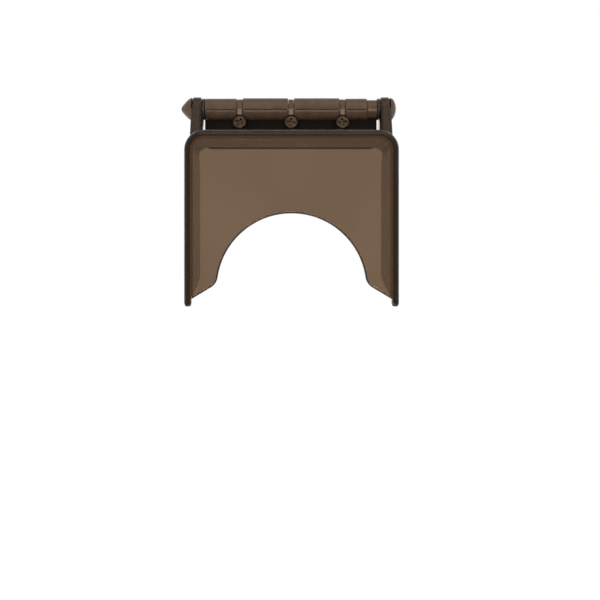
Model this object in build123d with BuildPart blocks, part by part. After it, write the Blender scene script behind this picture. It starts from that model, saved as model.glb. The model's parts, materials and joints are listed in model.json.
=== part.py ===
from build123d import *
import os

# Hinged smoked cover for the keypad of a lever lock, in millimetres.
# +Z is up, the front of the cover faces -Y and the hinge runs along X.
# The origin is on the back face of the mounting plate, on the axis of the middle screw.

# Cover shell
cover_width = 88.8
panel_height = 73.4
side_depth = 41.0
wall = 2.4
top_corner_radius = 8.2
front_edge_radius = 2.6
inner_edge_chamfer = 1.2
rear_corner_radius = 12.5
heel_radius = 4.0
toe_radius = 1.2
tip_rise = 12.0
panel_to_axis = 23.3
top_to_axis = 13.6

# Arch in the lower edge of the front panel
arch_depth = 34.6
arch_radius = 30.8
flare_slope = 0.6
flare_fillet = 6.0
tip_reach = 3.5
tip_width = 3.2
arch_edge_chamfer = 0.5

# Ears of the cover
ear_thickness = 4.6
ear_inset = 0.9
collar_diameter = 10.4
ear_foot_depth = 17.0
ear_edge_chamfer = 0.8

# Mounting plate
plate_width = 77.2
plate_thickness = 3.0
plate_above_axis = 4.0
plate_below_stop = 0.2
plate_corner_radius = 3.0
plate_edge_chamfer = 0.4

# Hinge line
axis_standoff = 5.3
axis_above_screws = 6.6
pin_diameter = 3.0
pin_end_chamfer = 0.3
inner_sleeve_diameter = 9.6
outer_sleeve_diameter = 9.2
sleeve_edge_chamfer = 0.35
bush_diameter = 8.0
bush_length = 4.3
washer_diameter = 9.2
washer_thickness = 0.8
bullet_cap_length = 4.9
dome_cap_length = 2.8
cap_diameter = 9.8
cap_rim = 0.5
bullet_nose_radius = 2.2
dome_nose_radius = 2.6
cap_end_wall = 1.2

# Hinge eyes and their screws
eye_pitch = 22.5
eye_thickness = 2.3
eye_diameter = 8.6
boss_diameter = 5.8
boss_length = 7.6
head_diameter = 6.2
head_height = 2.0
head_flat_diameter = 4.0
head_crown_height = 1.1
shank_diameter = 3.3
shank_taper_length = 0.5
thread_diameter = 2.9
thread_length = 10.0
thread_point = 1.4
recess_length = 3.5
recess_width = 0.95
recess_depth = 1.2
recess_taper = 12.0

# Fits
running_clearance = 0.05
press_clearance = 0.02
screw_clearance = 0.1
head_clearance = 0.25
eye_end_gap = 0.1
swing_end_gap = 0.2
stop_gap = 0.3

# How far a cutting shape runs past the face it opens
past = 5.0

# Places worked out from the sizes above
plate_front_y = -plate_thickness
axis_y = plate_front_y - axis_standoff
axis_z = axis_above_screws
panel_front_y = axis_y - panel_to_axis
top_z = axis_z - top_to_axis
top_back_y = plate_front_y - stop_gap
top_depth = top_back_y - panel_front_y
side_back_y = panel_front_y + side_depth
tip_z = top_z - panel_height
inner_half_width = cover_width / 2 - wall
tip_inner_x = cover_width / 2 - tip_width
ear_outer_x = cover_width / 2 - ear_inset
ear_inner_x = ear_outer_x - ear_thickness
pin_radius = pin_diameter / 2
running_radius = pin_radius + running_clearance
press_radius = pin_radius + press_clearance
collar_radius = collar_diameter / 2
cap_radius = cap_diameter / 2
eye_radius = eye_diameter / 2
head_seat_y = plate_front_y - boss_length
head_front_y = head_seat_y - head_height
relief_radius = head_diameter / 2 + head_clearance
plate_top_z = axis_z + plate_above_axis
plate_bottom_z = top_z - wall - plate_below_stop
flare_z = tip_z + tip_reach
notch_z = tip_z - past

# Stations along the hinge, from the middle outwards
sleeve_start_x = eye_thickness / 2 + eye_end_gap
washer_outer_x = ear_inner_x - swing_end_gap
washer_inner_x = washer_outer_x - washer_thickness
stack_end_x = washer_inner_x - swing_end_gap
bush_inner_x = stack_end_x - bush_length

hinge_centre = (axis_y, axis_z)
front_plane = Plane.XZ.offset(-panel_front_y)
os.makedirs("parts", exist_ok=True)


def write_part(part, name):
    part.label = name
    export_step(part, "parts/" + name + ".step")


# Space inside the shell, open at the back and below
with BuildPart() as cavity:
    with BuildSketch(front_plane.offset(-wall)) as cavity_outline:
        cavity_top = top_z - wall
        with Locations((0, (cavity_top + notch_z) / 2)):
            Rectangle(2 * inner_half_width, cavity_top - notch_z)
        fillet(cavity_outline.vertices().group_by(Axis.Y)[-1], top_corner_radius - wall)
    extrude(amount=-side_depth)
    cavity_rim = cavity.faces().sort_by(Axis.Y)[0].edges().sort_by(Axis.Z)[1:]
    chamfer(cavity_rim, inner_edge_chamfer)

# Arm and collar that carry the pin at one end, left side
with BuildPart() as ear:
    with BuildSketch(Plane.YZ.offset(-ear_outer_x)):
        with Locations(hinge_centre):
            Circle(collar_radius)
        foot_back_y = axis_y + collar_radius
        with Locations((foot_back_y - ear_foot_depth / 2, top_z - top_corner_radius)):
            Rectangle(ear_foot_depth, wall)
        make_hull()
    extrude(amount=ear_thickness)
    ear_sides = ear.faces().filter_by(Axis.X).edges().filter_by_position(
        Axis.Z, top_z, axis_z + collar_diameter
    )
    chamfer(ear_sides, ear_edge_chamfer)

# Moulded cover: front panel, two sides, short top wall and two ears
with BuildPart() as cover_shell:
    with BuildSketch(front_plane) as front_outline:
        with Locations((0, (top_z + notch_z) / 2)):
            Rectangle(cover_width, top_z - notch_z)
        fillet(front_outline.vertices().group_by(Axis.Y)[-1], top_corner_radius)
    extrude(amount=-side_depth)
    rim = cover_shell.faces().sort_by(Axis.Y)[0].edges().sort_by(Axis.Z)[1:]
    fillet(rim, front_edge_radius)
    with BuildSketch(Plane.YZ) as side_outline:
        with BuildLine():
            Polyline(
                (side_back_y, top_z),
                (panel_front_y, top_z),
                (panel_front_y, tip_z),
                (side_back_y, tip_z + tip_rise),
                close=True,
            )
        make_face()
        back_corners = side_outline.vertices().group_by(Axis.X)[-1].sort_by(Axis.Y)
        fillet(back_corners[-1], rear_corner_radius)
        back_corners = side_outline.vertices().group_by(Axis.X)[-1].sort_by(Axis.Y)
        fillet(back_corners[0], heel_radius)
        fillet(side_outline.vertices().sort_by(Axis.Y)[0], toe_radius)
    extrude(amount=cover_width, both=True, mode=Mode.INTERSECT)
    add(ear.part)
    mirror(ear.part, about=Plane.YZ)
    add(cavity.part, mode=Mode.SUBTRACT)
    with BuildSketch(Plane.XY.offset(top_z)):
        with Locations((0, (top_back_y + side_back_y + past) / 2)):
            Rectangle(2 * inner_half_width, side_back_y + past - top_back_y)
    extrude(amount=-top_corner_radius, mode=Mode.SUBTRACT)
    with BuildSketch(front_plane) as arch:
        with Locations((0, top_z - arch_depth - arch_radius)):
            Circle(arch_radius)
        with BuildLine():
            Polyline(
                (-tip_inner_x, notch_z),
                (-tip_inner_x, flare_z),
                (0, flare_z + flare_slope * tip_inner_x),
                (tip_inner_x, flare_z),
                (tip_inner_x, notch_z),
                close=True,
            )
        make_face()
        fillet(arch.vertices().group_by(Axis.Y)[-1], flare_fillet)
    extrude(amount=-(wall + inner_edge_chamfer), mode=Mode.SUBTRACT)
    arch_half = tip_inner_x - arch_edge_chamfer
    arch_edges = cover_shell.faces().sort_by(Axis.Y)[0].edges()
    arch_edges = arch_edges.filter_by_position(Axis.X, -arch_half, arch_half)
    arch_edges = arch_edges.filter_by_position(Axis.Z, flare_z, top_z - arch_depth / 2)
    chamfer(arch_edges, arch_edge_chamfer)
    with BuildSketch(Plane.YZ.offset(-cover_width)):
        with Locations(hinge_centre):
            Circle(press_radius)
    extrude(amount=2 * cover_width, mode=Mode.SUBTRACT)
write_part(cover_shell.part, "cover_shell")

# Steel pin, pressed into both ears and both caps
with BuildPart() as hinge_pin:
    pin_left_x = -ear_outer_x - (bullet_cap_length - cap_end_wall)
    pin_right_x = ear_outer_x + (dome_cap_length - cap_end_wall)
    with BuildSketch(Plane.YZ.offset(pin_left_x)):
        with Locations(hinge_centre):
            Circle(pin_radius)
    extrude(amount=pin_right_x - pin_left_x)
    chamfer(hinge_pin.edges().filter_by(GeomType.CIRCLE), pin_end_chamfer)
write_part(hinge_pin.part, "hinge_pin")


# Domed cap that closes an end of the pin; side is -1 on the left and 1 on the right
def end_cap(name, side, length, nose_radius):
    base_x = side * ear_outer_x
    nose_x = base_x + side * (length - nose_radius)
    bore_depth = length - cap_end_wall + press_clearance
    with BuildPart() as cap:
        with BuildSketch(Plane.XZ.offset(-axis_y)):
            with Locations((nose_x, axis_z)):
                Circle(nose_radius)
            with Locations((base_x + side * cap_rim / 2, axis_z)):
                Rectangle(cap_rim, cap_diameter)
            make_hull()
            with Locations((base_x + side * length / 2, axis_z + cap_radius / 2)):
                Rectangle(length, cap_radius, mode=Mode.INTERSECT)
            with Locations((base_x + side * bore_depth / 2, axis_z + press_radius / 2)):
                Rectangle(bore_depth, press_radius, mode=Mode.SUBTRACT)
        revolve(axis=Axis((0, axis_y, axis_z), (1, 0, 0)))
    write_part(cap.part, name)


end_cap("bullet_cap", -1, bullet_cap_length, bullet_nose_radius)
end_cap("dome_cap", 1, dome_cap_length, dome_nose_radius)


# Plain ring on the pin, from one station to another
def ring(name, start_x, end_x, diameter, bore_radius):
    with BuildPart() as collar:
        with BuildSketch(Plane.YZ.offset(start_x)):
            with Locations(hinge_centre):
                Circle(diameter / 2)
                Circle(bore_radius, mode=Mode.SUBTRACT)
        extrude(amount=end_x - start_x)
    write_part(collar.part, name)


ring("washer_left", -washer_outer_x, -washer_inner_x, washer_diameter, running_radius)
ring("washer_right", washer_inner_x, washer_outer_x, washer_diameter, running_radius)
ring("spacer_bush", bush_inner_x, stack_end_x, bush_diameter, running_radius)


# Spacer sleeve on the pin, cut away at its ends to clear the screw heads
def sleeve(name, start_x, end_x, diameter):
    with BuildPart() as tube:
        with BuildSketch(Plane.YZ.offset(start_x)):
            with Locations(hinge_centre):
                Circle(diameter / 2)
        extrude(amount=end_x - start_x)
        chamfer(tube.edges().filter_by(GeomType.CIRCLE), sleeve_edge_chamfer)
        with BuildSketch(Plane.YZ.offset(start_x)):
            with Locations(hinge_centre):
                Circle(running_radius)
        extrude(amount=end_x - start_x, mode=Mode.SUBTRACT)
        with BuildSketch(Plane.XZ.offset(-axis_y)):
            with GridLocations(eye_pitch, 0, 3, 1):
                Circle(relief_radius)
        extrude(amount=diameter, both=True, mode=Mode.SUBTRACT)
    write_part(tube.part, name)


pitch = eye_pitch
first_x = pitch + sleeve_start_x
sleeve("sleeve_outer_left", -stack_end_x, -first_x, outer_sleeve_diameter)
sleeve("sleeve_inner_left", sleeve_start_x - pitch, -sleeve_start_x, inner_sleeve_diameter)
sleeve("sleeve_inner_right", sleeve_start_x, pitch - sleeve_start_x, inner_sleeve_diameter)
sleeve("sleeve_outer_right", first_x, bush_inner_x - eye_end_gap, outer_sleeve_diameter)


# Eye that holds the pin, with a boss that its screw clamps to the mounting plate
def hinge_eye(name, centre_x):
    with BuildPart() as eye:
        with BuildSketch(Plane.YZ.offset(centre_x - eye_thickness / 2)):
            with Locations(hinge_centre):
                Circle(eye_radius)
            with Locations((plate_front_y - boss_length / 2, axis_z / 2)):
                Rectangle(boss_length, axis_z + eye_diameter / 2)
            make_hull()
        extrude(amount=eye_thickness)
        with BuildSketch(Plane.XZ.offset(-head_seat_y)):
            with Locations((centre_x, 0)):
                Circle(relief_radius)
        extrude(amount=eye_diameter, mode=Mode.SUBTRACT)
        with BuildSketch(Plane.XZ.offset(-plate_front_y)):
            with Locations((centre_x, 0)):
                Circle(boss_diameter / 2)
        extrude(amount=boss_length)
        with BuildSketch(Plane.YZ.offset(centre_x - boss_diameter)):
            with Locations(hinge_centre):
                Circle(running_radius)
        extrude(amount=2 * boss_diameter, mode=Mode.SUBTRACT)
        with BuildSketch(Plane.XZ.offset(-plate_front_y)):
            with Locations((centre_x, 0)):
                Circle(shank_diameter / 2 + screw_clearance)
        extrude(amount=boss_length, mode=Mode.SUBTRACT)
    write_part(eye.part, name)


# Pan-head screw with a cross recess, driven in from the front
def screw(name, centre_x):
    head_radius = head_diameter / 2
    shank_radius = shank_diameter / 2
    thread_radius = thread_diameter / 2
    with BuildPart() as fastener:
        with BuildSketch(Plane.XY):
            with BuildLine():
                Polyline(
                    (centre_x, head_front_y),
                    (centre_x, thread_length),
                    (centre_x + thread_radius - thread_point / 2, thread_length),
                    (centre_x + thread_radius, thread_length - thread_point),
                    (centre_x + thread_radius, 0),
                    (centre_x + shank_radius, -shank_taper_length),
                    (centre_x + shank_radius, head_seat_y),
                    (centre_x + head_radius, head_seat_y),
                    (centre_x + head_radius, head_front_y + head_crown_height),
                    (centre_x + head_flat_diameter / 2, head_front_y),
                    close=True,
                )
            make_face()
        revolve(axis=Axis((centre_x, 0, 0), (0, 1, 0)))
        with BuildSketch(Plane.XZ.offset(-head_front_y)):
            with Locations((centre_x, 0)):
                Rectangle(recess_length, recess_width)
                Rectangle(recess_width, recess_length)
        extrude(amount=-recess_depth, taper=recess_taper, mode=Mode.SUBTRACT)
    write_part(fastener.part, name)


for side_name, centre_x in (("left", -eye_pitch), ("centre", 0.0), ("right", eye_pitch)):
    hinge_eye("eye_" + side_name, centre_x)
    screw("screw_" + side_name, centre_x)

# Plate that the eyes are clamped to, against the front of the lock
with BuildPart() as mounting_plate:
    with BuildSketch(Plane.XZ):
        with Locations((0, (plate_top_z + plate_bottom_z) / 2)):
            RectangleRounded(plate_width, plate_top_z - plate_bottom_z, plate_corner_radius)
        with GridLocations(eye_pitch, 0, 3, 1):
            Circle(shank_diameter / 2 + screw_clearance, mode=Mode.SUBTRACT)
    extrude(amount=plate_thickness)
    plate_front = mounting_plate.faces().sort_by(Axis.Y)[0]
    chamfer(plate_front.outer_wire().edges(), plate_edge_chamfer)
write_part(mounting_plate.part, "mounting_plate")

print("top wall depth", round(top_depth, 2), "mm, pin", round(pin_right_x - pin_left_x, 2), "mm")
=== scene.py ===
import json
import math

import bmesh
import bpy
from mathutils import Matrix, Vector


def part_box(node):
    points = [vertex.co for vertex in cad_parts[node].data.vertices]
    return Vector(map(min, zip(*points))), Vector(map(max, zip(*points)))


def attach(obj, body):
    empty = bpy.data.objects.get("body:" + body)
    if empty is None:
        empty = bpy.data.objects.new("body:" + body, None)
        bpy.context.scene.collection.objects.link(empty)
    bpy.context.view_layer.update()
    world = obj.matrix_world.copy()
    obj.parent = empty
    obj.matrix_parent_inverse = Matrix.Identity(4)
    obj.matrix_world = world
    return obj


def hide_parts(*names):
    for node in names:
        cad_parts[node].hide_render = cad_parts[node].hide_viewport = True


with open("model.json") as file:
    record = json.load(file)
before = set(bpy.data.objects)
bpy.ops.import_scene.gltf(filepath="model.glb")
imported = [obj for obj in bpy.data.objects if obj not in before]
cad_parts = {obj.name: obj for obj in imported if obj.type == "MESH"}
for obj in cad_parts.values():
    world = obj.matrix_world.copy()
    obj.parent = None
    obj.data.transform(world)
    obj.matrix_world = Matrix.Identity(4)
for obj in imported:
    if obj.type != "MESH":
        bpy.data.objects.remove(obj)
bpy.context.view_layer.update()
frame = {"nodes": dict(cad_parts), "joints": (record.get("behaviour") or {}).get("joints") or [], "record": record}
nodes = frame["nodes"]
print("frame loaded:", len(nodes), "nodes")

scene = bpy.context.scene
scene.view_settings.view_transform = "Standard"


def startFinish(name):
    material = bpy.data.materials.new(name)
    material.use_nodes = True
    tree = material.node_tree
    return material, tree, tree.nodes["Principled BSDF"]


def setSockets(shader, sockets):
    for socket, value in sockets.items():
        shader.inputs[socket].default_value = value


def mottling(tree, scale, detail=3.0, stretch=(1, 1, 1)):
    place = tree.nodes.new("ShaderNodeTexCoord")
    mapping = tree.nodes.new("ShaderNodeMapping")
    mapping.inputs["Scale"].default_value = stretch
    noise = tree.nodes.new("ShaderNodeTexNoise")
    noise.inputs["Scale"].default_value = scale
    noise.inputs["Detail"].default_value = detail
    tree.links.new(place.outputs["Object"], mapping.inputs["Vector"])
    tree.links.new(mapping.outputs["Vector"], noise.inputs["Vector"])
    return noise.outputs["Fac"]


def shiftRange(tree, source, span, result):
    change = tree.nodes.new("ShaderNodeMapRange")
    for socket, value in zip(("From Min", "From Max", "To Min", "To Max"), (*span, *result)):
        change.inputs[socket].default_value = value
    tree.links.new(source, change.inputs["Value"])
    return change.outputs["Result"]


def blendShades(tree, source, span, shades):
    ramp = tree.nodes.new("ShaderNodeValToRGB")
    for element, position, shade in zip(ramp.color_ramp.elements, span, shades):
        element.position = position
        element.color = (*shade, 1)
    tree.links.new(source, ramp.inputs["Fac"])
    return ramp.outputs["Color"]


def addRipple(tree, shader, height, depth, strength=1.0):
    bump = tree.nodes.new("ShaderNodeBump")
    bump.inputs["Distance"].default_value = depth
    bump.inputs["Strength"].default_value = strength
    tree.links.new(height, bump.inputs["Height"])
    tree.links.new(bump.outputs["Normal"], shader.inputs["Normal"])


# Smoked see-through polycarbonate, tinted at its skin and darker where it is thick
smoked = {
    "shades": ((0.33, 0.27, 0.225), (0.37, 0.31, 0.26)), "roughness": (0.03, 0.08),
    # the cut edge's shades are painted shade: near black, for the dark line that the edge's thickness shows along
    # the arch
    "paintedEdgeShade": ((0.012, 0.008, 0.006), (0.03, 0.02, 0.014)), "cutRoughness": (0.3, 0.45),
    "cloudScale": 26, "cloudDetail": 2.0, "cloudSpan": (0.35, 0.65),
    "hazeScale": 90, "hazeSpan": (0.3, 0.7),
    "rippleScale": 45, "rippleDetail": 1.0, "rippleDepth": 0.00003, "rippleStrength": 0.4,
    "depthColor": (0.543, 0.376, 0.193, 1), "density": 700,
    "sockets": {"Transmission Weight": 1.0, "IOR": 1.585, "Specular Tint": (0.85, 0.64, 0.48, 1)},
}


def smokedPlastic(name, shades, roughness):
    material, tree, shader = startFinish(name)
    setSockets(shader, smoked["sockets"])
    cloud = mottling(tree, smoked["cloudScale"], smoked["cloudDetail"])
    tree.links.new(blendShades(tree, cloud, smoked["cloudSpan"], shades), shader.inputs["Base Color"])
    haze = mottling(tree, smoked["hazeScale"])
    tree.links.new(shiftRange(tree, haze, smoked["hazeSpan"], roughness), shader.inputs["Roughness"])
    ripple = mottling(tree, smoked["rippleScale"], smoked["rippleDetail"])
    addRipple(tree, shader, ripple, smoked["rippleDepth"], smoked["rippleStrength"])
    absorb = tree.nodes.new("ShaderNodeVolumeAbsorption")
    absorb.inputs["Color"].default_value = smoked["depthColor"]
    absorb.inputs["Density"].default_value = smoked["density"]
    tree.links.new(absorb.outputs["Volume"], tree.nodes["Material Output"].inputs["Volume"])
    return material


smokedClear = smokedPlastic("smokedPolycarbonate", smoked["shades"], smoked["roughness"])
# The arch's cut edge: the same smoked plastic painted near black, a painted shade for the dark line along its edge
edgeWithPaintedShade = smokedPlastic("smokedEdgePaintedShade", smoked["paintedEdgeShade"], smoked["cutRoughness"])

mottleSpan = (0.3, 0.7)  # the noise values that give the first and the second shade


# Opaque finishes share a recipe: noise moves the shade, and the roughness and bump where the look has them
def opaqueFinish(name, look):
    material, tree, shader = startFinish(name)
    setSockets(shader, look["sockets"])
    speckle = mottling(tree, look["scale"], look.get("detail", 3.0), look.get("stretch", (1, 1, 1)))
    tree.links.new(blendShades(tree, speckle, mottleSpan, look["shades"]), shader.inputs["Base Color"])
    if "roughness" in look:
        tree.links.new(shiftRange(tree, speckle, mottleSpan, look["roughness"]), shader.inputs["Roughness"])
    if "peelScale" in look:  # a bump finer than the mottling
        speckle = mottling(tree, look["peelScale"], look["peelDetail"])
    if "bumpDepth" in look:
        addRipple(tree, shader, speckle, look["bumpDepth"], look.get("bumpStrength", 1.0))
    return material


# The hinge's own smoked plastic, nearly opaque
hingeLook = {
    "shades": ((0.088, 0.055, 0.036), (0.118, 0.076, 0.052)), "scale": 240, "roughness": (0.2, 0.3),
    "peelScale": 1400, "peelDetail": 2.0, "bumpDepth": 0.00002, "bumpStrength": 0.5,
    "sockets": {"IOR": 1.585, "Specular IOR Level": 0.3, "Specular Tint": (0.85, 0.64, 0.48, 1)},
}
smokedHinge = opaqueFinish("smokedHingePlastic", hingeLook)

# Bronze plated screws
bronzeLook = {
    "shades": ((0.07, 0.046, 0.03), (0.12, 0.082, 0.056)), "scale": 900, "roughness": (0.28, 0.42),
    "sockets": {"Metallic": 1.0},
}
bronzed = opaqueFinish("bronzedSteel", bronzeLook)

# Drawn steel pin, with its marks along the pin
pinLook = {
    "shades": ((0.42, 0.42, 0.42), (0.58, 0.57, 0.56)), "scale": 2500, "stretch": (0.02, 1, 1),
    "roughness": (0.25, 0.45), "bumpDepth": 0.000005,
    "sockets": {"Metallic": 1.0},
}
pinSteel = opaqueFinish("pinSteel", pinLook)

# Dark nylon washers
nylonLook = {
    "shades": ((0.028, 0.02, 0.015), (0.045, 0.033, 0.025)), "scale": 1100, "bumpDepth": 0.00002,
    "sockets": {"Roughness": 0.55},
}
darkNylon = opaqueFinish("darkNylon", nylonLook)

# Black plate with a fine moulded grain
plateLook = {
    "shades": ((0.011, 0.008, 0.006), (0.02, 0.015, 0.011)), "scale": 1800, "detail": 5.0,
    "roughness": (0.42, 0.58), "bumpDepth": 0.00003,
    "sockets": {"Specular IOR Level": 0.25, "Specular Tint": (0.9, 0.7, 0.52, 1)},
}
blackPlastic = opaqueFinish("blackPlastic", plateLook)

slotMaterials = {
    "smoked_polycarbonate": smokedClear,
    "smoked_hinge_plastic": smokedHinge,
    "bronzed_steel": bronzed,
    "pin_steel": pinSteel,
    "dark_nylon": darkNylon,
    "black_plastic": blackPlastic,
}
for part in frame["record"]["subparts"]:
    node = nodes[part["node"]]
    node.data.materials.clear()
    node.data.materials.append(slotMaterials[part["material_slot"]])
print("materials made:", len(slotMaterials))


hingeAt = Vector(frame["joints"][0]["pos_m"])  # a point on the hinge's axis
meshWork = {
    "merge": 0.000002, "cut": 0.0000005,  # metres
    "flat": 1, "sharp": 35,  # degrees
}


def wholeCopy(nodeName):  # the CAD triangles joined into whole faces
    shape = bmesh.new()
    shape.from_mesh(nodes[nodeName].data)
    bmesh.ops.remove_doubles(shape, verts=shape.verts, dist=meshWork["merge"])
    bmesh.ops.dissolve_limit(shape, angle_limit=math.radians(meshWork["flat"]),
                             verts=shape.verts, edges=shape.edges)
    return shape


def sharpEdges(shape):
    limit = math.radians(meshWork["sharp"])
    return [edge for edge in shape.edges if edge.is_manifold and edge.calc_face_angle() > limit]


def softenEdges(shape, edges, width, segments=3):
    bmesh.ops.bevel(shape, geom=edges, offset=width, offset_type="OFFSET", affect="EDGES",
                    segments=segments, profile=0.5, material=-1, clamp_overlap=False)


def cutAcross(shape, faces, point, normal):  # a flat cut through these faces only
    around = {vert for face in faces for vert in face.verts} | {edge for face in faces for edge in face.edges}
    bmesh.ops.bisect_plane(shape, geom=list(around) + faces, plane_co=point, plane_no=normal,
                           dist=meshWork["cut"])


def openRecess(shape, faces):  # gives the verts of the recess's floor, for the caller to push in
    sunk = bmesh.ops.extrude_face_region(shape, geom=faces)
    bmesh.ops.delete(shape, geom=[face for face in faces if face.is_valid], context="FACES")
    return [part for part in sunk["geom"] if isinstance(part, bmesh.types.BMVert)]


def turnOutline(shape, points, centre, axis, steps):
    chain = [shape.verts.new(point) for point in points]
    edges = [shape.edges.new(pair) for pair in zip(chain, chain[1:])]
    bmesh.ops.spin(shape, geom=chain + edges, cent=centre, axis=axis, dvec=(0, 0, 0),
                   angle=math.tau, steps=steps, use_merge=True)
    bmesh.ops.remove_doubles(shape, verts=shape.verts, dist=meshWork["merge"])


def finishPiece(shape, name, materials, body, standsFor, smoothAngle=40):
    mesh = bpy.data.meshes.new(name)
    shape.to_mesh(mesh)
    shape.free()
    for material in materials:
        mesh.materials.append(material)
    mesh.shade_smooth()
    mesh.set_sharp_from_angle(angle=math.radians(smoothAngle))
    piece = bpy.data.objects.new(name, mesh)
    scene.collection.objects.link(piece)
    even = piece.modifiers.new("evenNormals", "WEIGHTED_NORMAL")
    even.keep_sharp = True
    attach(piece, body)
    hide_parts(standsFor)


# Moulded cover: its two tips rounded across the wall, and its edges eased so that they catch the light
shell = {
    "edge": 0.00015, "segments": 3,
    "archEdge": 0.00015, "archSegments": 3,
    "archTop": -0.04, "panelDepth": 0.0026, "inside": 0.0405,  # where the arch's edge lies
    "cutFacing": 0.97,  # an arch face that faces the front less than this is cut edge
    "tipRound": 0.0013, "tipCuts": (0.05, 0.18, 0.4, 0.7, 1), "tipReach": 1.1,
    "tipRise": 0.293,  # slope of the sides' lower edge, front to back
    "tipMiddle": 0.043, "tipFlat": 0.25,  # middle of the wall, and the share of its width left at the toe
    "outside": 0.0385, "step": (-0.004, -0.003), "tipSharp": 1.02,  # where edges stay sharp
}
shape = wholeCopy("cover_shell")
front = min(vert.co.y for vert in shape.verts)
panelBack = front + shell["panelDepth"]
slope = Vector((0, -shell["tipRise"], 1)).normalized()
toe = Vector((0, front, min(vert.co.z + shell["tipRise"] * (front - vert.co.y) for vert in shape.verts)))


def overToe(vert):  # height over the sides' lower edge, 1 where the rounding ends
    return (vert.co - toe).dot(slope) / shell["tipRound"]


for share in shell["tipCuts"]:
    near = []
    for face in shape.faces:
        inSide = all(abs(vert.co.x) > shell["inside"] for vert in face.verts)
        if inSide and min(overToe(vert) for vert in face.verts) < shell["tipReach"]:
            near.append(face)
    cutAcross(shape, near, toe + slope * share * shell["tipRound"], slope)
for vert in shape.verts:
    height = overToe(vert)
    if height < 1 and abs(vert.co.x) > shell["inside"]:
        rounding = math.sqrt(max(0, 1 - (1 - max(height, 0)) ** 2))
        middle = math.copysign(shell["tipMiddle"], vert.co.x)
        width = shell["tipFlat"] + (1 - shell["tipFlat"]) * rounding
        vert.co.x = middle + (vert.co.x - middle) * width

archEdges = [edge for edge in sharpEdges(shape)
             if all(abs(vert.co.x) < shell["inside"] and vert.co.y < panelBack for vert in edge.verts)]
softenEdges(shape, archEdges, shell["archEdge"], shell["archSegments"])

# The small step beside the ears and the rounded tips keep sharp edges, because easing those folds the mesh
restEdges = []
for edge in sharpEdges(shape):
    outside = all(abs(vert.co.x) > shell["outside"] for vert in edge.verts)
    atStep = all(shell["step"][0] < vert.co.y < shell["step"][1] for vert in edge.verts)
    atTip = all(overToe(vert) < shell["tipSharp"] for vert in edge.verts)
    if not (outside and (atStep or atTip)):
        restEdges.append(edge)
softenEdges(shape, restEdges, shell["edge"], shell["segments"])

# Arch faces that turn away from the front are the cut edge and get the painted shade, the near-black second
# material
for face in shape.faces:
    middle = face.calc_center_median()
    inArch = abs(middle.x) < shell["inside"] and middle.y < panelBack and middle.z < shell["archTop"]
    if inArch and abs(face.normal.y) < shell["cutFacing"]:
        face.material_index = 1  # the second material, the arch's cut edge painted near black as painted shade
finishPiece(shape, "smokedShell", [smokedClear, edgeWithPaintedShade], "cover", "cover_shell")
print("shell made")


# Caps turned from a short profile: how far along the cap, and how wide there
caps = {
    "steps": 64,
    "ease": 0.998,  # a little inside the CAD's facets
    "bore": 0.31, "boreDepth": 0.55,
    "bullet": [(0, 0.97), (0.02, 1), (0.1, 1), (0.2, 0.95), (0.32, 0.87), (0.45, 0.76), (0.58, 0.63),
               (0.7, 0.5), (0.82, 0.36), (0.9, 0.26), (0.96, 0.16), (0.99, 0.08), (1, 0)],
    "dome": [(0, 0.97), (0.02, 1), (0.14, 1), (0.26, 0.975), (0.4, 0.92), (0.54, 0.84), (0.67, 0.73),
             (0.79, 0.59), (0.88, 0.45), (0.95, 0.29), (0.985, 0.15), (1, 0)],
}


def turnedCap(name, nodeName, baseSide, outline):
    low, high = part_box(nodeName)
    radius = (high.z - low.z) / 2 * caps["ease"]
    base, tip = (low.x, high.x) if baseSide == "left" else (high.x, low.x)
    profile = [(caps["boreDepth"], 0), (caps["boreDepth"], caps["bore"]), (0, caps["bore"])] + outline
    points = [(base + (tip - base) * along, hingeAt.y, hingeAt.z + radius * out) for along, out in profile]
    shape = bmesh.new()
    turnOutline(shape, points, hingeAt, (1, 0, 0), caps["steps"])
    bmesh.ops.recalc_face_normals(shape, faces=shape.faces)
    finishPiece(shape, name, [smokedHinge], "cover", nodeName)


turnedCap("bulletCap", "bullet_cap", "right", caps["bullet"])
turnedCap("domeCap", "dome_cap", "left", caps["dome"])
print("caps turned")


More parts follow.
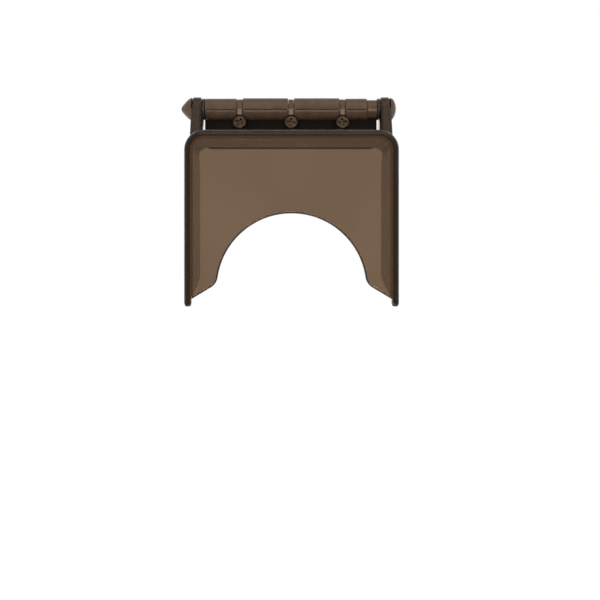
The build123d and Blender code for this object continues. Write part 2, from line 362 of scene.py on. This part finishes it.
# Sleeves with a fine slit along the front
sleeves = {
    "slit": 0.0005, "slitDepth": 0.0012, "slitEnd": 0.0007,
    "slitAngle": 15,  # degrees below the front
    "outerShare": 0.42,  # of the diameter: faces nearer the axis are the bore's
    "nodes": {"sleeveOuterLeft": "sleeve_outer_left", "sleeveInnerLeft": "sleeve_inner_left",
              "sleeveInnerRight": "sleeve_inner_right", "sleeveOuterRight": "sleeve_outer_right"},
}
tilt = math.radians(sleeves["slitAngle"])
outward = Vector((0, -math.cos(tilt), -math.sin(tilt)))
across = Vector((0, -math.sin(tilt), math.cos(tilt)))
lengthwise = Vector((1, 0, 0))
halfSlit = across * sleeves["slit"] / 2
for name, nodeName in sleeves["nodes"].items():
    low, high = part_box(nodeName)
    shape = wholeCopy(nodeName)
    firstX, lastX = low.x + sleeves["slitEnd"], high.x - sleeves["slitEnd"]
    cuts = [(hingeAt + halfSlit, across), (hingeAt - halfSlit, across),
            (Vector((firstX, 0, 0)), lengthwise), (Vector((lastX, 0, 0)), lengthwise)]
    for point, normal in cuts:
        frontFaces = [face for face in shape.faces
                      if (face.calc_center_median() - hingeAt).dot(outward) > 0]
        cutAcross(shape, frontFaces, point, normal)
    strip = []
    for face in shape.faces:
        fromAxis = face.calc_center_median() - hingeAt
        inSlit = abs(fromAxis.dot(across)) < sleeves["slit"] / 2
        inLength = firstX < face.calc_center_median().x < lastX
        if inSlit and inLength and fromAxis.dot(outward) > (high.y - low.y) * sleeves["outerShare"]:
            strip.append(face)
    slitFloor = openRecess(shape, strip)
    bmesh.ops.translate(shape, verts=slitFloor, vec=-outward * sleeves["slitDepth"])
    bmesh.ops.recalc_face_normals(shape, faces=shape.faces)
    finishPiece(shape, name, [smokedHinge], "bracket", nodeName)
print("sleeves made")


# Pan-head screws, turned from a half outline of (radius, depth), with a cross recess and a thread
screws = {
    "steps": 48, "smoothAngle": 30,
    "head": [(0.002, 0), (0.0023, 0.00006), (0.0026, 0.0002), (0.00284, 0.00042), (0.00301, 0.00072),
             (0.0031, 0.0011), (0.0031, 0.00186), (0.00296, 0.002)],
    "shank": 0.00165, "shankEnd": -0.0005,
    "core": 0.0012, "coreStart": -0.0001, "point": 0.0014,
    "armReach": 0.00175, "armHalfWidth": 0.00046,
    "recessDepth": 0.0012, "recessTaper": 0.72, "recessEdge": 0.00006, "recessSegments": 2,
    "lipDepth": 0.00001,  # edges this near the crown are the recess's lip
    "crossTurns": {"left": 24, "centre": 6, "right": -12},  # degrees
    "thread": 0.00145, "sink": 0.00008, "pitch": 0.0008, "ridgeShare": 0.42,
    "firstTurn": 0.0004, "turns": 10, "threadSteps": 28,
}
faceForward = Matrix.Rotation(math.radians(90), 4, "X")
for side, crossTurn in screws["crossTurns"].items():
    nodeName = "screw_" + side
    low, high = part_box(nodeName)
    middle = Vector(((low.x + high.x) / 2, 0, 0))
    crown = Vector((middle.x, low.y, 0))
    headBack = low.y + screws["head"][-1][1]
    outline = [(radius, low.y + depth) for radius, depth in screws["head"]]
    outline += [(screws["shank"], headBack), (screws["shank"], screws["shankEnd"]),
                (screws["core"], screws["coreStart"]), (screws["core"], high.y - screws["point"]), (0, high.y)]
    shape = bmesh.new()
    turnOutline(shape, [(middle.x, y, radius) for radius, y in outline], middle, (0, 1, 0), screws["steps"])

    # The cross is a grid of nine faces on the crown without its corners
    grid = bmesh.ops.create_grid(shape, x_segments=3, y_segments=3, size=screws["armReach"])
    for vert in grid["verts"]:
        for axis in (0, 1):
            if abs(vert.co[axis]) < screws["armReach"] / 2:
                vert.co[axis] = math.copysign(screws["armHalfWidth"], vert.co[axis])
    gridFaces = {face for vert in grid["verts"] for face in vert.link_faces}
    corners = [face for face in gridFaces
               if min(abs(offset) for offset in face.calc_center_median().xy) > screws["armHalfWidth"]]
    cross = [face for face in gridFaces if face not in corners]
    turned = Matrix.Rotation(math.radians(crossTurn), 4, "Y")
    bmesh.ops.transform(shape, matrix=Matrix.Translation(crown) @ turned @ faceForward, verts=grid["verts"])
    bmesh.ops.delete(shape, geom=corners, context="FACES")
    for vert in openRecess(shape, cross):
        vert.co = crown.lerp(vert.co, screws["recessTaper"])
        vert.co.y += screws["recessDepth"]
    rim = [edge for edge in shape.edges if edge.is_boundary]
    bmesh.ops.triangle_fill(shape, edges=rim, use_beauty=True, use_dissolve=False, normal=(0, -1, 0))
    bmesh.ops.recalc_face_normals(shape, faces=shape.faces)
    lip = [edge for edge in sharpEdges(shape)
           if all(vert.co.y < low.y + screws["lipDepth"] for vert in edge.verts)]
    softenEdges(shape, lip, screws["recessEdge"], screws["recessSegments"])

    # The thread is a small triangle wound round the core, sunk a little into it
    inner = screws["core"] - screws["sink"]
    half = screws["pitch"] * screws["ridgeShare"]
    start = screws["firstTurn"]
    ridge = [shape.verts.new((middle.x, y, radius))
             for y, radius in ((start - half, inner), (start, screws["thread"]), (start + half, inner))]
    ridgeFace = shape.faces.new(ridge)
    bmesh.ops.spin(shape, geom=[ridgeFace] + list(ridgeFace.edges) + ridge, cent=middle, axis=(0, 1, 0),
                   dvec=(0, screws["pitch"] / screws["threadSteps"], 0), angle=math.tau * screws["turns"],
                   steps=screws["threadSteps"] * screws["turns"], use_merge=False)
    bmesh.ops.recalc_face_normals(shape, faces=shape.faces)
    finishPiece(shape, side + "Screw", [bronzed], "bracket", nodeName,
                smoothAngle=screws["smoothAngle"])
print("screws made")


# Eyes, plate, bush, washers and pin keep their CAD shapes, with the edges eased by "edge"
easedPieces = {
    "leftEye": {"node": "eye_left", "finish": smokedHinge, "body": "bracket",
                "slot": "smoked_hinge_plastic", "edge": 0.00025},
    "centreEye": {"node": "eye_centre", "finish": smokedHinge, "body": "bracket",
                  "slot": "smoked_hinge_plastic", "edge": 0.00025},
    "rightEye": {"node": "eye_right", "finish": smokedHinge, "body": "bracket",
                 "slot": "smoked_hinge_plastic", "edge": 0.00025},
    "bracketPlate": {"node": "mounting_plate", "finish": blackPlastic, "body": "bracket",
                     "slot": "black_plastic", "edge": 0.0002},
    "spacerBush": {"node": "spacer_bush", "finish": smokedHinge, "body": "bracket",
                   "slot": "smoked_hinge_plastic", "edge": 0.0003},
    "leftWasher": {"node": "washer_left", "finish": darkNylon, "body": "cover",
                   "slot": "dark_nylon", "edge": 0.00018},
    "rightWasher": {"node": "washer_right", "finish": darkNylon, "body": "cover",
                    "slot": "dark_nylon", "edge": 0.00018},
    "hingePin": {"node": "hinge_pin", "finish": pinSteel, "body": "cover",
                 "slot": "pin_steel", "edge": 0.00008},
}
for name, eased in easedPieces.items():
    shape = wholeCopy(eased["node"])
    softenEdges(shape, sharpEdges(shape), eased["edge"])
    finishPiece(shape, name, [eased["finish"]], eased["body"], eased["node"])
print("small pieces made:", len(easedPieces))


# White room whose light on the object stays plain, while the camera and clear plastic see it white
studio = {
    "width": 6.0, "height": -0.30,
    "seenWhite": 1.0, "roomLight": 0.62,
    "glossSpan": (0.3, 0.8),  # gloss meets the white only behind the object, by the ray's Y
    "floorColor": (0.9, 0.9, 0.9, 1), "floorRoughness": 0.8, "floorLift": 0.55,
    "white": (1, 1, 1, 1),
}


def joinMath(tree, operation, first, second):
    join = tree.nodes.new("ShaderNodeMath")
    join.operation = operation
    tree.links.new(first, join.inputs[0])
    tree.links.new(second, join.inputs[1])
    return join.outputs["Value"]


world = bpy.data.worlds.new("studioWorld")
scene.world = world
world.use_nodes = True
tree = world.node_tree
background = tree.nodes["Background"]
background.inputs["Color"].default_value = studio["white"]
path = tree.nodes.new("ShaderNodeLightPath")
toward = tree.nodes.new("ShaderNodeTexCoord")
split = tree.nodes.new("ShaderNodeSeparateXYZ")
tree.links.new(toward.outputs["Generated"], split.inputs["Vector"])
behind = shiftRange(tree, split.outputs["Y"], studio["glossSpan"], (0, 1))
mirrored = joinMath(tree, "MULTIPLY", path.outputs["Is Glossy Ray"], behind)
seen = joinMath(tree, "MAXIMUM", path.outputs["Is Camera Ray"], path.outputs["Is Transmission Ray"])
seen = joinMath(tree, "MAXIMUM", seen, mirrored)
strength = shiftRange(tree, seen, (0, 1), (studio["roomLight"], studio["seenWhite"]))
tree.links.new(strength, background.inputs["Strength"])

ground = bmesh.new()
bmesh.ops.create_grid(ground, x_segments=1, y_segments=1, size=studio["width"] / 2)
bmesh.ops.translate(ground, verts=ground.verts, vec=(0, 0, studio["height"]))
groundMesh = bpy.data.meshes.new("studioFloor")
ground.to_mesh(groundMesh)
ground.free()
floor = bpy.data.objects.new("studioFloor", groundMesh)
scene.collection.objects.link(floor)
paint, tree, shader = startFinish("studioFloor")
setSockets(shader, {"Base Color": studio["floorColor"], "Roughness": studio["floorRoughness"],
                    "Emission Color": studio["white"]})
path = tree.nodes.new("ShaderNodeLightPath")
seen = joinMath(tree, "MAXIMUM", path.outputs["Is Camera Ray"], path.outputs["Is Transmission Ray"])
seen = joinMath(tree, "MAXIMUM", seen, path.outputs["Is Glossy Ray"])
tree.links.new(shiftRange(tree, seen, (0, 1), (0, studio["floorLift"])), shader.inputs["Emission Strength"])
floor.data.materials.append(paint)

lamps = {
    "keyLight": {"place": (0.12, -0.55, 0.6), "target": (0, 0, -0.03), "size": 0.8, "power": 1.2},
    "fillLight": {"place": (0, -0.6, -0.22), "target": (0, 0, -0.03), "size": 0.25, "power": 1.3},
}
for name, lamp in lamps.items():
    light = bpy.data.lights.new(name, "AREA")
    light.size = lamp["size"]
    light.energy = lamp["power"]
    holder = bpy.data.objects.new(name, light)
    holder.location = lamp["place"]
    aim = Vector(lamp["target"]) - Vector(lamp["place"])
    holder.rotation_euler = aim.to_track_quat("-Z", "Y").to_euler()
    holder.visible_camera = False
    holder.visible_transmission = False  # so that the clear plastic doesn't show the lamp behind it
    scene.collection.objects.link(holder)
print("lights and floor made")


# Level camera, looking along Y; the picture's axis is off its centre, which the shift puts right
view = {"x": -0.00353, "y": -0.332, "z": -0.0736, "nearest": 0.01, "sensor": 36,
        "picture": 600, "focalPixels": 733, "axisColumn": 283, "axisRow": 291}
lens = bpy.data.cameras.new("photoCamera")
lens.sensor_width = view["sensor"]
lens.lens = view["focalPixels"] / view["picture"] * lens.sensor_width
lens.shift_x = (view["picture"] / 2 - view["axisColumn"]) / view["picture"]
lens.shift_y = (view["axisRow"] - view["picture"] / 2) / view["picture"]
lens.clip_start = view["nearest"]
camera = bpy.data.objects.new("photoCamera", lens)
camera.location = (view["x"], view["y"], view["z"])
camera.rotation_euler = (math.radians(90), 0, 0)
scene.collection.objects.link(camera)
scene.camera = camera
print("camera placed")
